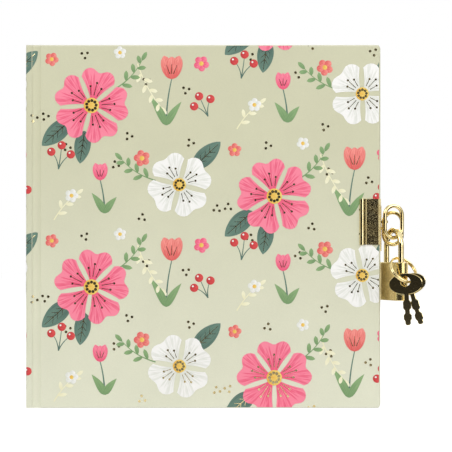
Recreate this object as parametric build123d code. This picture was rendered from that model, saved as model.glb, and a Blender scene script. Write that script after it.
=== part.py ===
from build123d import *
import math
import os

# A hardback diary that is held shut by a small padlock.
# The book stands on its tail: +Z runs up the spine, the front cover faces -Y, the spine is at -X.
# Inside this file x = 0 is the spine's outer face and y = 0 the middle of the book's thickness.
# Every piece is shifted on export, so that the origin is on the back cover's tail edge.

# Cover sizes, in millimetres
COVER_HEIGHT = 165.0
BACK_WIDTH = 161.6
FORE_STEP = 0.8
BOARD_T = 2.0
WRAP_T = 0.2
PASTEDOWN_T = 0.15
TURN_IN = 3.8
CORNER_R = 1.2
EDGE_R = 0.5
SPINE_BOARD_T = 2.2
SPINE_R = 1.1
LINING_T = 0.3
BOARD_START = 7.0
GROOVE_DEPTH = 0.8

# Paper sizes
SECTION_COUNT = 6
TURNED_SECTIONS = 3
LEAVES_PER_SECTION = 8
LEAF_T = 0.12
FLYLEAF_T = 0.15
LAYER_GAP = 0.03
SQUARE = 3.5
FORE_SQUARE = 4.0

# Clip and ring sizes
CLIP_HEIGHT = 20.8
CLIP_LEAF = 8.1
CLIP_T = 0.6
CLIP_WEB = 0.5
CLIP_BEAD_R = 1.15
CLIP_RIDGE_R = 0.3
CLIP_FLANGE = 2.0
CLIP_FLANGE_T = 0.5
CLIP_RISE = 2.1
CLIP_STEP = 3.0
CRIMP_R = 0.6
CRIMP_OUT = 0.25
CRIMP_SPACING = 11.0
RING_WIRE = 1.8
RING_SPAN = 8.6
RING_HEIGHT = 16.4
RING_STANDOFF = 0.2
EYE_T = 0.45
EYE_HEIGHT = 1.2
FRONT_RING_TILT = 21.0
BACK_RING_TILT = 19.0

# Padlock sizes
LOCK_WIDTH = 21.4
LOCK_T = 6.2
LOCK_HEIGHT = 17.3
LOCK_WALL = 0.6
LOCK_TOP_T = 1.2
LOCK_BASE_T = 1.0
LOCK_EDGE_R = 0.25
LOCK_TURN = 68.0
BOW_LIFT = 1.3
SHACKLE_WIRE = 2.6
SHACKLE_RISE = 14.7
LONG_LEG_IN = 11.0
SHORT_LEG_IN = 3.6
NOTCH_DEPTH = 0.6
NOTCH_HEIGHT = 0.9
LATCH_T = 0.4
LATCH_WIDTH = 2.4
LATCH_ARM = 6.0
WARD_T = 0.5
WARD_DEPTHS = (8.6, 12.6)
SPRING_WIRE = 0.4
SPRING_R = 0.95
SPRING_TURNS = 5

# Key sizes
KEY_T = 0.9
KEY_BEVEL = 0.15
KEY_BOW_WIDTH = 15.4
KEY_BOW_HEIGHT = 9.6
KEY_HOLE_R = 2.2
KEY_HOLE_RISE = 1.1
KEY_NECK_W = 2.2
KEY_WARD_W = 3.7
KEY_TIP_W = 2.5
KEY_LENGTH = 18.8
KEY_TIP_FLAT = 0.25
WARD_START_RATIOS = (0.20, 0.61)
WARD_END_RATIOS = (0.53, 0.87)
WARD_SLOPE_RATIO = 0.07
KEY_PLANE_TURN = -15.0
KEY_ROLLS = (3.6, 17.0)
KEY_PITCH = 1.7
KEY_SHIFT = -1.3
KEY_RING_WIRE = 0.85
KEY_RING_PITCH = 0.94
KEY_RING_TURN = 37.5
KEY_RING_RISE = 2.0
KEY_RING_DROP = 8.7
KEY_ROOM = 1.6

# Named clearances
RUN_CLEAR = 0.06
WIRE_CLEAR = 0.15
FIT_CLEAR = 0.05
KEY_CLEAR = 0.25

# Values that follow from the sizes above
COVER_T = WRAP_T + BOARD_T + WRAP_T
SECTION_T = LEAVES_PER_SECTION * LEAF_T
MOVING_GAPS = TURNED_SECTIONS + 2
BLOCK_T = SECTION_COUNT * SECTION_T + 2 * FLYLEAF_T + MOVING_GAPS * LAYER_GAP
THICKNESS = 2 * COVER_T + BLOCK_T
Y_FRONT = -THICKNESS / 2
FRONT_WIDTH = BACK_WIDTH - FORE_STEP
AXIS_X = WRAP_T + SPINE_BOARD_T + LINING_T
PAGE_START = AXIS_X + LAYER_GAP
PAGE_END = BACK_WIDTH - FORE_SQUARE
RING_AXIS_X = BACK_WIDTH + CLIP_WEB + RING_STANDOFF + RING_WIRE / 2
RING_AXIS_Y = THICKNESS / 2 - COVER_T / 2
FRONT_CLIP_Z = COVER_HEIGHT / 2 + CLIP_RISE
BACK_CLIP_Z = FRONT_CLIP_Z - CLIP_STEP
LEG_SPACING = LOCK_WIDTH - LOCK_T
LEG_R = SHACKLE_WIRE / 2
LOCK_X = RING_AXIS_X + RING_SPAN / 2
RING_SEAT_Z = FRONT_CLIP_Z - RING_HEIGHT / 2 + RING_WIRE
LOCK_TOP_Z = RING_SEAT_Z + BOW_LIFT + LEG_R - SHACKLE_RISE
LOCK_COS = math.cos(math.radians(LOCK_TURN))
LOCK_SIN = math.sin(math.radians(LOCK_TURN))
NEAR_X = LOCK_X + LEG_SPACING / 2 * LOCK_COS
NEAR_Y = -LEG_SPACING / 2 * LOCK_SIN
LOCK_PLACE = Pos(LOCK_X, 0, LOCK_TOP_Z) * Rot(0, 0, -LOCK_TURN)
ORIGIN = (-(BOARD_START + BACK_WIDTH) / 2, -(THICKNESS / 2 - COVER_T / 2), 0)


def block(x0, x1, y0, y1, z0, z1):
    """A box between two corners."""
    centre = Pos((x0 + x1) / 2, (y0 + y1) / 2, (z0 + z1) / 2)
    return centre * Box(x1 - x0, y1 - y0, z1 - z0)


def to_back(piece):
    """The same piece on the other side of the book's middle plane."""
    return mirror(piece, about=Plane.XZ)


def rounded_slab(fore_x, inset):
    """A cover's outline, drawn in by inset on its fore edge, head, tail and both faces."""
    slab = block(
        AXIS_X,
        fore_x - inset,
        Y_FRONT + inset,
        Y_FRONT + COVER_T - inset,
        inset,
        COVER_HEIGHT - inset,
    )
    corners = slab.edges().filter_by(Axis.Y).group_by(Axis.X)[-1]
    slab = fillet(corners, CORNER_R - inset)
    rims = slab.faces().group_by(Axis.Y)[0].edges() + slab.faces().group_by(Axis.Y)[-1].edges()
    rims = [edge for edge in rims if edge.center().X > AXIS_X + inset]
    return fillet(rims, EDGE_R - inset)


def board(fore_x):
    """Grey board of a cover."""
    slab = rounded_slab(fore_x, WRAP_T)
    return slab - block(0, BOARD_START, Y_FRONT, 0, 0, COVER_HEIGHT)


def joint_strip():
    """The wrap where it dips into the groove beside the spine, from the hinge axis to the board."""
    start = AXIS_X + LAYER_GAP
    half_chord = (BOARD_START - WRAP_T - start) / 2
    radius = (half_chord**2 + GROOVE_DEPTH**2) / (2 * GROOVE_DEPTH)
    middle = Pos(start + half_chord, Y_FRONT + GROOVE_DEPTH - radius, COVER_HEIGHT / 2)
    tube = Cylinder(radius + WRAP_T, COVER_HEIGHT) - Cylinder(radius, COVER_HEIGHT)
    behind_face = block(start, BOARD_START, Y_FRONT, 0, 0, COVER_HEIGHT)
    return (middle * tube) & behind_face


def wrap(fore_x):
    """Printed sheet of a cover, turned in round three edges of the board."""
    sheet = rounded_slab(fore_x, 0) - rounded_slab(fore_x, WRAP_T)
    sheet -= block(0, BOARD_START, Y_FRONT, 0, 0, COVER_HEIGHT)
    inner_face = Y_FRONT + WRAP_T + BOARD_T
    sheet -= block(0, fore_x - TURN_IN, inner_face, 0, TURN_IN, COVER_HEIGHT - TURN_IN)
    outer_skin = block(BOARD_START - WRAP_T, BOARD_START, Y_FRONT, Y_FRONT + WRAP_T, 0, COVER_HEIGHT)
    return sheet + outer_skin + joint_strip()


def pastedown(fore_x):
    """End paper that is pasted to the inside of a cover, inside the turned-in border."""
    inner_face = Y_FRONT + WRAP_T + BOARD_T
    return block(
        PAGE_START,
        fore_x - TURN_IN,
        inner_face,
        inner_face + PASTEDOWN_T,
        TURN_IN,
        COVER_HEIGHT - TURN_IN,
    )


def spine_board():
    """Stiffener of the spine."""
    half = THICKNESS / 2 - WRAP_T
    strip = block(WRAP_T, WRAP_T + SPINE_BOARD_T, -half, half, WRAP_T, COVER_HEIGHT - WRAP_T)
    outer = strip.edges().filter_by(Axis.Z).group_by(Axis.X)[0]
    return fillet(outer, SPINE_R - WRAP_T)


def spine_wrap():
    """Printed sheet round the spine, with its turn-ins at head and tail."""
    half = THICKNESS / 2
    strip = block(0, AXIS_X, -half, half, 0, COVER_HEIGHT)
    strip = fillet(strip.edges().filter_by(Axis.Z).group_by(Axis.X)[0], SPINE_R)
    hollow = block(WRAP_T, AXIS_X, -half + WRAP_T, half - WRAP_T, WRAP_T, COVER_HEIGHT - WRAP_T)
    hollow = fillet(hollow.edges().filter_by(Axis.Z).group_by(Axis.X)[0], SPINE_R - WRAP_T)
    behind = block(
        WRAP_T + SPINE_BOARD_T, AXIS_X, -half + WRAP_T, half - WRAP_T, 0, COVER_HEIGHT
    )
    return strip - hollow - behind


def leaves(y0, thickness):
    """A flat block of paper, drawn in from the covers by the squares."""
    return block(PAGE_START, PAGE_END, y0, y0 + thickness, SQUARE, COVER_HEIGHT - SQUARE)


def paper_block():
    """Flyleaves and sections from the front, with a gap on each side of those that turn."""
    pieces = {}
    y = Y_FRONT + COVER_T + LAYER_GAP
    pieces["front_flyleaf"] = leaves(y, FLYLEAF_T)
    y += FLYLEAF_T + LAYER_GAP
    for number in range(1, SECTION_COUNT + 1):
        pieces[f"section_{number}"] = leaves(y, SECTION_T)
        y += SECTION_T
        if number <= TURNED_SECTIONS:
            y += LAYER_GAP
    pieces["back_flyleaf"] = leaves(y, FLYLEAF_T)
    return pieces


def spine_lining():
    """Cloth and paper lining glued over the backs of the sections."""
    half = BLOCK_T / 2
    return block(AXIS_X - LINING_T, AXIS_X, -half, half, SQUARE, COVER_HEIGHT - SQUARE)


def clip(fore_x, centre_z):
    """Sheet-metal clip folded over a cover's fore edge, with an eye for the ring's inner leg."""
    low = centre_z - CLIP_HEIGHT / 2
    high = centre_z + CLIP_HEIGHT / 2
    outer = fore_x + CLIP_WEB
    inner_face = Y_FRONT + COVER_T
    leaf_start = fore_x - CLIP_LEAF
    shape = block(leaf_start, outer, Y_FRONT - CLIP_T, inner_face + CLIP_FLANGE_T, low, high)
    outer_edges = shape.edges().filter_by(Axis.Z).group_by(Axis.X)[-1]
    shape = fillet(outer_edges, CLIP_T)
    shape -= block(leaf_start, fore_x, Y_FRONT, inner_face, low, high)
    shape -= block(leaf_start, fore_x - CLIP_FLANGE, Y_FRONT, inner_face + CLIP_FLANGE_T, low, high)
    bead = Pos(leaf_start, Y_FRONT, centre_z) * Cylinder(CLIP_BEAD_R, CLIP_HEIGHT)
    shape += bead - block(leaf_start - CLIP_LEAF, fore_x, Y_FRONT, inner_face, low, high)
    roll = Pos(fore_x - CLIP_T, Y_FRONT - CLIP_T, centre_z) * Cylinder(CLIP_T / 2, CLIP_HEIGHT)
    shape += roll
    ridge_x = leaf_start + CLIP_BEAD_R + 2 * CLIP_RIDGE_R
    shape += Pos(ridge_x, Y_FRONT - CLIP_T, centre_z) * Cylinder(CLIP_RIDGE_R, CLIP_HEIGHT)
    for offset in (-CRIMP_SPACING / 2, CRIMP_SPACING / 2):
        crimp_x = leaf_start - CLIP_BEAD_R - CRIMP_OUT + CRIMP_R
        place = Pos(crimp_x, Y_FRONT - CLIP_T / 4, centre_z + offset) * Rot(90, 0, 0)
        shape += place * Cylinder(CRIMP_R, CLIP_T / 2)
    bore_r = RING_WIRE / 2 + RUN_CLEAR
    axis = Pos(RING_AXIS_X, -RING_AXIS_Y, centre_z)
    eye = axis * Cylinder(bore_r + EYE_T, EYE_HEIGHT)
    tongue_y = -RING_AXIS_Y
    eye += block(
        fore_x + CLIP_WEB / 2,
        RING_AXIS_X,
        tongue_y - EYE_T,
        tongue_y + EYE_T,
        centre_z - EYE_HEIGHT / 2,
        centre_z + EYE_HEIGHT / 2,
    )
    channel = axis * Cylinder(bore_r, CLIP_HEIGHT)
    return (shape + eye) - channel


def oval_ring():
    """Oval wire link in the XZ plane, its inner leg on the Z axis."""
    wire_r = RING_WIRE / 2
    bend = RING_SPAN / 2
    straight = RING_HEIGHT - RING_WIRE - RING_SPAN
    link = Cylinder(wire_r, straight) + Pos(RING_SPAN, 0, 0) * Cylinder(wire_r, straight)
    upper = block(-RING_SPAN, RING_SPAN, -RING_SPAN, RING_SPAN, 0, RING_SPAN)
    arch = (Rot(90, 0, 0) * Torus(bend, wire_r)) & upper
    link += Pos(bend, 0, straight / 2) * arch
    link += Pos(bend, 0, -straight / 2) * Rot(180, 0, 0) * arch
    return link


def stadium(length, width, depth):
    """A solid with flat sides and round ends, from z = 0 downwards."""
    return extrude(SlotOverall(length, width), amount=-depth)


def leg_bore(side, radius, depth):
    """A cylinder on one leg's axis, from z = 0 downwards."""
    return Pos(side * LEG_SPACING / 2, 0, -depth / 2) * Cylinder(radius, depth)


def keyhole(depth):
    """Slot for the flat key, with a round middle where its necks can turn."""
    slot = Box(KEY_WARD_W + 2 * KEY_CLEAR, KEY_T + 2 * KEY_CLEAR, depth)
    return Pos(0, 0, -depth / 2) * (slot + Cylinder(KEY_NECK_W / 2 + KEY_CLEAR, depth))


def lock_inside():
    """Length and width of the case's hollow."""
    return LOCK_WIDTH - 2 * LOCK_WALL, LOCK_T - 2 * LOCK_WALL


def lock_case():
    """Padlock body: a drawn shell, open below, with two holes for the shackle."""
    shell = stadium(LOCK_WIDTH, LOCK_T, LOCK_HEIGHT)
    rims = shell.faces().group_by(Axis.Z)[-1].edges() + shell.faces().group_by(Axis.Z)[0].edges()
    shell = fillet(rims, LOCK_EDGE_R)
    length, width = lock_inside()
    shell -= Pos(0, 0, -LOCK_TOP_T) * stadium(length, width, LOCK_HEIGHT)
    for side in (-1, 1):
        shell -= leg_bore(side, LEG_R + RUN_CLEAR, LOCK_TOP_T)
    return shell


def lock_base():
    """Plate that closes the case below, with the keyhole."""
    length, width = lock_inside()
    plate = stadium(length, width, LOCK_BASE_T) - keyhole(LOCK_BASE_T)
    return Pos(0, 0, LOCK_BASE_T - LOCK_HEIGHT) * plate


def ward_plate(depth):
    """Plate across the case that stops a key with the wrong necks."""
    length, width = lock_inside()
    plate = stadium(length, width, WARD_T) - keyhole(WARD_T)
    plate -= leg_bore(1, LEG_R + 2 * RUN_CLEAR, WARD_T)
    return Pos(0, 0, -depth) * plate


def shackle():
    """Bent rod with a long leg at +X, a short leg at -X and a notch in each for the latch."""
    bend_z = SHACKLE_RISE - LEG_SPACING / 2
    arch = (Rot(90, 0, 0) * Torus(LEG_SPACING / 2, LEG_R)) & block(
        -LEG_SPACING, LEG_SPACING, -LEG_SPACING, LEG_SPACING, 0, LEG_SPACING
    )
    rod = Pos(0, 0, bend_z) * arch
    for side, inside in ((1, LONG_LEG_IN), (-1, SHORT_LEG_IN)):
        rod += Pos(0, 0, bend_z) * leg_bore(side, LEG_R, bend_z + inside)
        face = side * (LEG_SPACING / 2 - LEG_R)
        notch = Box(2 * NOTCH_DEPTH, SHACKLE_WIRE, NOTCH_HEIGHT)
        rod -= Pos(face, 0, -LOCK_TOP_T - NOTCH_HEIGHT / 2) * notch
    return rod


def latch_spring():
    """Flat sprung latch: its ends sit in the shackle's notches, its arms reach down to the wards."""
    reach = LEG_SPACING / 2 - LEG_R + NOTCH_DEPTH - FIT_CLEAR
    bar_top = -LOCK_TOP_T - FIT_CLEAR
    bar = Pos(0, 0, bar_top - LATCH_T / 2) * Box(2 * reach, LATCH_WIDTH, LATCH_T)
    arm_x = LEG_SPACING / 2 - LEG_R - LATCH_T - FIT_CLEAR
    for side in (-1, 1):
        arm = Box(LATCH_T, LATCH_WIDTH, LATCH_ARM)
        bar += Pos(side * arm_x, 0, bar_top - LATCH_ARM / 2) * arm
    return bar


def shackle_spring():
    """Coil between the long leg's end and the base plate, which lifts the shackle."""
    top = -LONG_LEG_IN
    bottom = LOCK_BASE_T - LOCK_HEIGHT
    rise = top - bottom - SPRING_WIRE - 2 * FIT_CLEAR
    coil = Helix(rise / SPRING_TURNS, rise, SPRING_R)
    section = Plane(coil @ 0, z_dir=coil % 0) * Circle(SPRING_WIRE / 2)
    spring = sweep(section, path=coil, is_frenet=True)
    return Pos(LEG_SPACING / 2, 0, bottom + SPRING_WIRE / 2 + FIT_CLEAR) * spring


def key_ring_frame():
    """Centre, radius and axes of the key ring, hooked behind the long leg and in front of the case."""
    turn = math.radians(KEY_RING_TURN)
    back = Vector(-math.sin(turn), math.cos(turn), 0)
    side = Vector(math.cos(turn), math.sin(turn), 0)
    leg = Vector(NEAR_X, NEAR_Y, LOCK_TOP_Z)
    half_stack = KEY_RING_WIRE + WIRE_CLEAR
    top = leg + back * (LEG_R + half_stack + WIRE_CLEAR) + Vector(0, 0, KEY_RING_RISE)
    front = LOCK_T / 2 + half_stack + KEY_ROOM
    bottom = leg - back * front - Vector(0, 0, KEY_RING_DROP)
    up = top - bottom
    return (top + bottom) * 0.5, up.length / 2, side, up.normalized()


def key_ring():
    """Split ring: two turns of wire side by side."""
    centre, radius, side, up = key_ring_frame()
    turn = Torus(radius, KEY_RING_WIRE / 2)
    half_pitch = KEY_RING_WIRE * KEY_RING_PITCH / 2
    pair = Pos(0, 0, half_pitch) * turn + Pos(0, 0, -half_pitch) * turn
    return Plane(centre, x_dir=side, z_dir=side.cross(up)) * pair


def key_hole_centre(number):
    """Where the ring's wire passes a key's hole: a little to each side of the ring's lowest point."""
    centre, radius, side, up = key_ring_frame()
    along = ((number - 0.5) * KEY_PITCH + KEY_SHIFT) / radius
    return centre + side * (radius * math.sin(along)) - up * (radius * math.cos(along))


def key():
    """Flat key in the XZ plane, its hole on the Y axis: an oval bow and a blade with two wards."""
    bow_z = -KEY_HOLE_RISE
    neck = KEY_NECK_W / 2
    wide = KEY_WARD_W / 2
    top = bow_z - KEY_BOW_HEIGHT / 2 + EDGE_R
    tip = bow_z - KEY_LENGTH
    blade_length = top - tip
    steps = [(0.0, neck)]
    widths_after = (neck, KEY_TIP_W / 2)
    for start, end, after in zip(WARD_START_RATIOS, WARD_END_RATIOS, widths_after):
        steps.append((start, neck))
        steps.append((start + WARD_SLOPE_RATIO, wide))
        steps.append((end - WARD_SLOPE_RATIO, wide))
        steps.append((end, after))
    steps.append((1.0, KEY_TIP_W / 2))
    right = [(w, top - f * blade_length) for f, w in steps]
    left = [(-x, z) for x, z in reversed(right)]
    blade = make_face(Polyline(*right, *left, close=True))
    tip_corners = blade.vertices().group_by(Axis.Y)[0]
    blade = fillet(tip_corners, (KEY_TIP_W - KEY_TIP_FLAT) / 2)
    bow = Pos(0, bow_z) * Ellipse(KEY_BOW_WIDTH / 2, KEY_BOW_HEIGHT / 2)
    outline = bow + blade - Circle(KEY_HOLE_R)
    blank = extrude(outline, amount=KEY_T / 2, both=True)
    faces = blank.faces().group_by(Axis.Z)
    rims = faces[0].edges() + faces[-1].edges()
    return Rot(90, 0, 0) * chamfer(rims, KEY_BEVEL)


def build():
    """Every piece by name, in the book's own frame."""
    pieces = {}
    pieces["front_board"] = board(FRONT_WIDTH)
    pieces["front_wrap"] = wrap(FRONT_WIDTH)
    pieces["front_pastedown"] = pastedown(FRONT_WIDTH)
    pieces["back_board"] = to_back(board(BACK_WIDTH))
    pieces["back_wrap"] = to_back(wrap(BACK_WIDTH))
    pieces["back_pastedown"] = to_back(pastedown(BACK_WIDTH))
    pieces["spine_board"] = spine_board()
    pieces["spine_wrap"] = spine_wrap()
    pieces["spine_lining"] = spine_lining()
    pieces.update(paper_block())
    pieces["front_clip"] = clip(FRONT_WIDTH, FRONT_CLIP_Z)
    pieces["back_clip"] = to_back(clip(BACK_WIDTH, BACK_CLIP_Z))
    front_place = Pos(RING_AXIS_X, -RING_AXIS_Y, FRONT_CLIP_Z) * Rot(0, 0, FRONT_RING_TILT)
    back_place = Pos(RING_AXIS_X, RING_AXIS_Y, BACK_CLIP_Z) * Rot(0, 0, -BACK_RING_TILT)
    pieces["front_ring"] = front_place * oval_ring()
    pieces["back_ring"] = back_place * oval_ring()
    pieces["lock_case"] = LOCK_PLACE * lock_case()
    pieces["lock_base"] = LOCK_PLACE * lock_base()
    for number, depth in enumerate(WARD_DEPTHS, start=1):
        pieces[f"ward_plate_{number}"] = LOCK_PLACE * ward_plate(depth)
    pieces["latch_spring"] = LOCK_PLACE * latch_spring()
    pieces["shackle"] = LOCK_PLACE * shackle()
    pieces["shackle_spring"] = LOCK_PLACE * shackle_spring()
    pieces["key_ring"] = key_ring()
    for number, roll in enumerate(KEY_ROLLS):
        place = Pos(*key_hole_centre(number)) * Rot(0, 0, KEY_PLANE_TURN) * Rot(0, -roll, 0)
        pieces[f"key_{number + 1}"] = place * key()
    return pieces


def main():
    os.makedirs("parts", exist_ok=True)
    for name, piece in build().items():
        export_step(Pos(*ORIGIN) * piece, f"parts/{name}.step")


if __name__ == "__main__":
    main()
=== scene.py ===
# %% [markdown]
# # A hardback diary with a padlock
# The solids come ready made, in metres and in place: boards, sheets of paper, clips, rings, lock and keys.
# This lesson dresses them. Each finish is a small tree of shader nodes, and the printed pattern on
# the cover is laid over the boards as thin films of ink whose outlines are worked out with numpy.

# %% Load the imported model
import math

import bpy
import numpy as np
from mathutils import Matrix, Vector


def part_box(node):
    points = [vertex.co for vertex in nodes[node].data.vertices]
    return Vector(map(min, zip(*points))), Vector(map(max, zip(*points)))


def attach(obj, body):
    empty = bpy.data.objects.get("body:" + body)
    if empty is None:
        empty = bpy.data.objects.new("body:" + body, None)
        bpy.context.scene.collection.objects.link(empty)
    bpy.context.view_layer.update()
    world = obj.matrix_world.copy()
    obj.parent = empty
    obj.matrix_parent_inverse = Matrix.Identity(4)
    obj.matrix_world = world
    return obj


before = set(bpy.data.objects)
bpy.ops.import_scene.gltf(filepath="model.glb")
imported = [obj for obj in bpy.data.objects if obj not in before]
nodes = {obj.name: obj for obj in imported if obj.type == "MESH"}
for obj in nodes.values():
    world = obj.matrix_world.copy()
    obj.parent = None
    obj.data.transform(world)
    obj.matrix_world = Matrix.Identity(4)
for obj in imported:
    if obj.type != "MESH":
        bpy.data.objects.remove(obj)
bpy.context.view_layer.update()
MM = 0.001

# %% [markdown]
# ## Camera
# The book is seen square on, so the camera looks along +Y at the middle of the picture. A long lens keeps
# the perspective as flat as it is on a product picture. The distance follows from the width that
# the picture covers at the front cover.

# %% Camera
SENSOR_MM = 36.0
LENS_MM = 200.0
PICTURE_WIDTH = 205.4 * MM
PICTURE_CENTRE = (6.6 * MM, 82.7 * MM)

front_low, front_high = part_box("front_wrap")
camera_data = bpy.data.cameras.new("camera")
camera_data.lens = LENS_MM
camera_data.sensor_width = SENSOR_MM
camera = bpy.data.objects.new("camera", camera_data)
bpy.context.scene.collection.objects.link(camera)
camera_distance = PICTURE_WIDTH * LENS_MM / SENSOR_MM
camera.location = (PICTURE_CENTRE[0], front_low.y - camera_distance, PICTURE_CENTRE[1])
camera.rotation_euler = (math.radians(90), 0, 0)
bpy.context.scene.camera = camera
print("camera stands", round(camera_distance, 3), "m in front of the cover")

# %% [markdown]
# ## Small helpers for shader trees
# A shader tree is made of nodes and links. These helpers add a node, set its plain values by socket name
# and link whatever was given as another node's output, so that a finish reads as a short list.


# %% Shader helpers
def linear(r, g, b):
    """An 8-bit display colour as the linear colour that shaders use."""
    values = np.array([r, g, b]) / 255.0
    low = values / 12.92
    high = ((values + 0.055) / 1.055) ** 2.4
    return (*np.where(values <= 0.04045, low, high).tolist(), 1.0)


def put(tree, kind, settings=None, **inputs):
    """Adds a node, sets its properties, then fills its sockets by name (spaces written as _)."""
    node = tree.nodes.new(kind)
    for name, value in (settings or {}).items():
        setattr(node, name, value)
    for name, value in inputs.items():
        socket = node.inputs[int(name[1:])] if name[1:].isdigit() else node.inputs[name.replace("_", " ")]
        if isinstance(value, bpy.types.NodeSocket):
            tree.links.new(value, socket)
        else:
            socket.default_value = value
    return node


def sums(tree, operation, *values):
    """A Math node on up to three numbers or sockets."""
    node = put(tree, "ShaderNodeMath", {"operation": operation}, **{f"i{i}": v for i, v in enumerate(values)})
    return node.outputs[0]


def ramp(tree, value, low, high, to_low=0.0, to_high=1.0):
    """Carries a value from one range to another and stops at the ends."""
    node = put(tree, "ShaderNodeMapRange", None, Value=value, From_Min=low, From_Max=high)
    node.inputs["To Min"].default_value = to_low
    node.inputs["To Max"].default_value = to_high
    return node.outputs["Result"]


def mix_colour(tree, share, first, second, blend="MIX"):
    """Mixes two colours by a share."""
    settings = {"data_type": "RGBA", "blend_type": blend}
    return put(tree, "ShaderNodeMix", settings, i0=share, i6=first, i7=second).outputs[2]


def place(tree, scale=(1, 1, 1), turn=(0, 0, 0), centre=(0, 0, 0)):
    """Object coordinates, moved so that centre is at zero, then turned and scaled."""
    coordinates = put(tree, "ShaderNodeTexCoord").outputs["Object"]
    moved = put(tree, "ShaderNodeVectorMath", {"operation": "SUBTRACT"}, i0=coordinates, i1=centre).outputs[0]
    return put(tree, "ShaderNodeMapping", None, Vector=moved, Rotation=turn, Scale=scale).outputs[0]


def noise(tree, vector, scale, detail=3.0, roughness=0.5):
    """Noise between 0 and 1."""
    node = put(tree, "ShaderNodeTexNoise", None, Vector=vector, Scale=scale)
    node.inputs["Detail"].default_value = detail
    node.inputs["Roughness"].default_value = roughness
    return node.outputs["Fac"]


def axis_of(tree, vector, axis):
    """One coordinate of a vector."""
    return put(tree, "ShaderNodeSeparateXYZ", None, Vector=vector).outputs[axis]


def grey(tree, value):
    """A colour with the same value in red, green and blue."""
    return put(tree, "ShaderNodeCombineColor", None, i0=value, i1=value, i2=value).outputs[0]


def bump(tree, height, strength, distance):
    """Normal from a height."""
    return put(tree, "ShaderNodeBump", None, Height=height, Strength=strength, Distance=distance).outputs[0]


def finish_tree(name):
    """A new material with its Principled shader; plain values are set on the shader's own sockets."""
    material = bpy.data.materials.new(name)
    material.use_nodes = True
    tree = material.node_tree
    return material, tree, tree.nodes["Principled BSDF"]


def dress(material, *names):
    """Gives CAD nodes a material in all their slots."""
    for name in names:
        slots = nodes[name].data.materials
        if not slots:
            slots.append(material)
        for index in range(len(slots)):
            slots[index] = material


# %% [markdown]
# ## Groups for effects that several finishes share
# Paper, board and ink all show the same fine fibre, and all the metal has the same faint cloudiness and
# grain. Each effect is one node group with named inputs, placed in a material with its own values.


# %% Node groups
NOISE_SPAN = (0.3, 0.7)
FINE_SHARE = 0.6
SCRATCH_STRETCH = 0.06


def new_group(name, inputs, outputs):
    """An empty node group with float inputs and the given outputs."""
    group = bpy.data.node_groups.new(name, "ShaderNodeTree")
    for label, value in inputs.items():
        socket = group.interface.new_socket(label, in_out="INPUT", socket_type="NodeSocketFloat")
        socket.default_value = value
    for label in outputs:
        group.interface.new_socket(label, in_out="OUTPUT", socket_type="NodeSocketFloat")
    return group, group.nodes.new("NodeGroupInput"), group.nodes.new("NodeGroupOutput")


def make_fibre():
    """Paper fibre: fine noise for height and a slow cloud for tone."""
    group, given, result = new_group("paper_fibre", {"Grain": 2600.0, "Cloud": 60.0}, ("Height", "Tone"))
    at = place(group)
    fine = noise(group, at, given.outputs["Grain"], 4.0, 0.65)
    slow = noise(group, at, given.outputs["Cloud"], 2.0, 0.5)
    group.links.new(fine, result.inputs["Height"])
    fine_part = sums(group, "MULTIPLY", fine, FINE_SHARE)
    slow_part = sums(group, "MULTIPLY", slow, 1 - FINE_SHARE)
    group.links.new(sums(group, "ADD", fine_part, slow_part), result.inputs["Tone"])
    return group


def make_metal_cloud():
    """Metal: a slow cloud for colour and roughness, cells with a value each as grains, thin scratches."""
    inputs = {"Cloud": 250.0, "Pits": 4200.0}
    group, given, result = new_group("metal_cloud", inputs, ("Cloud", "Pits", "Scratch"))
    at = place(group)
    slow = noise(group, at, given.outputs["Cloud"], 3.0, 0.55)
    group.links.new(slow, result.inputs["Cloud"])
    grains = put(group, "ShaderNodeTexVoronoi", None, Vector=at, Scale=given.outputs["Pits"])
    own = put(group, "ShaderNodeSeparateColor", None, Color=grains.outputs["Color"]).outputs["Red"]
    group.links.new(own, result.inputs["Pits"])
    stretched = place(group, scale=(1.0, 1.0, SCRATCH_STRETCH))
    group.links.new(noise(group, stretched, given.outputs["Pits"], 2.0, 0.6), result.inputs["Scratch"])
    return group


FIBRE = make_fibre()
METAL = make_metal_cloud()


def use_group(tree, group, **inputs):
    """Places a group in a tree and returns its outputs by name."""
    node = put(tree, "ShaderNodeGroup", {"node_tree": group}, **inputs)
    return node.outputs


print("groups:", [g.name for g in bpy.data.node_groups])

# %% [markdown]
# ## Cover paper
# The case is covered with a printed sheet that has a matt varnish. Its ground is a pale sage with painted
# light and shade: darker towards the head and lighter towards the tail. The tone changes slowly over the
# sheet, fine fibre shows in raking light, and the folds along the edges are rubbed a little lighter.

# %% Cover paper
# painted light and shade: the ground colour is darker towards the head and lighter towards the tail
PAPER_HEAD_SHADED = linear(211, 210, 179)
PAPER_TAIL_LIT = linear(229, 230, 207)
PAPER_RUBBED = linear(240, 238, 222)
COVER_LOW, COVER_HIGH = front_low.z, front_high.z
HEAD_SHADE_START = 0.75
RUB_WIDTH = 0.9 * MM
RUB_SHARE = 0.55
PAPER_FIBRE = {"Grain": 2400.0, "Cloud": 45.0}
FIBRE_DEPTH = 0.03 * MM


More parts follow.
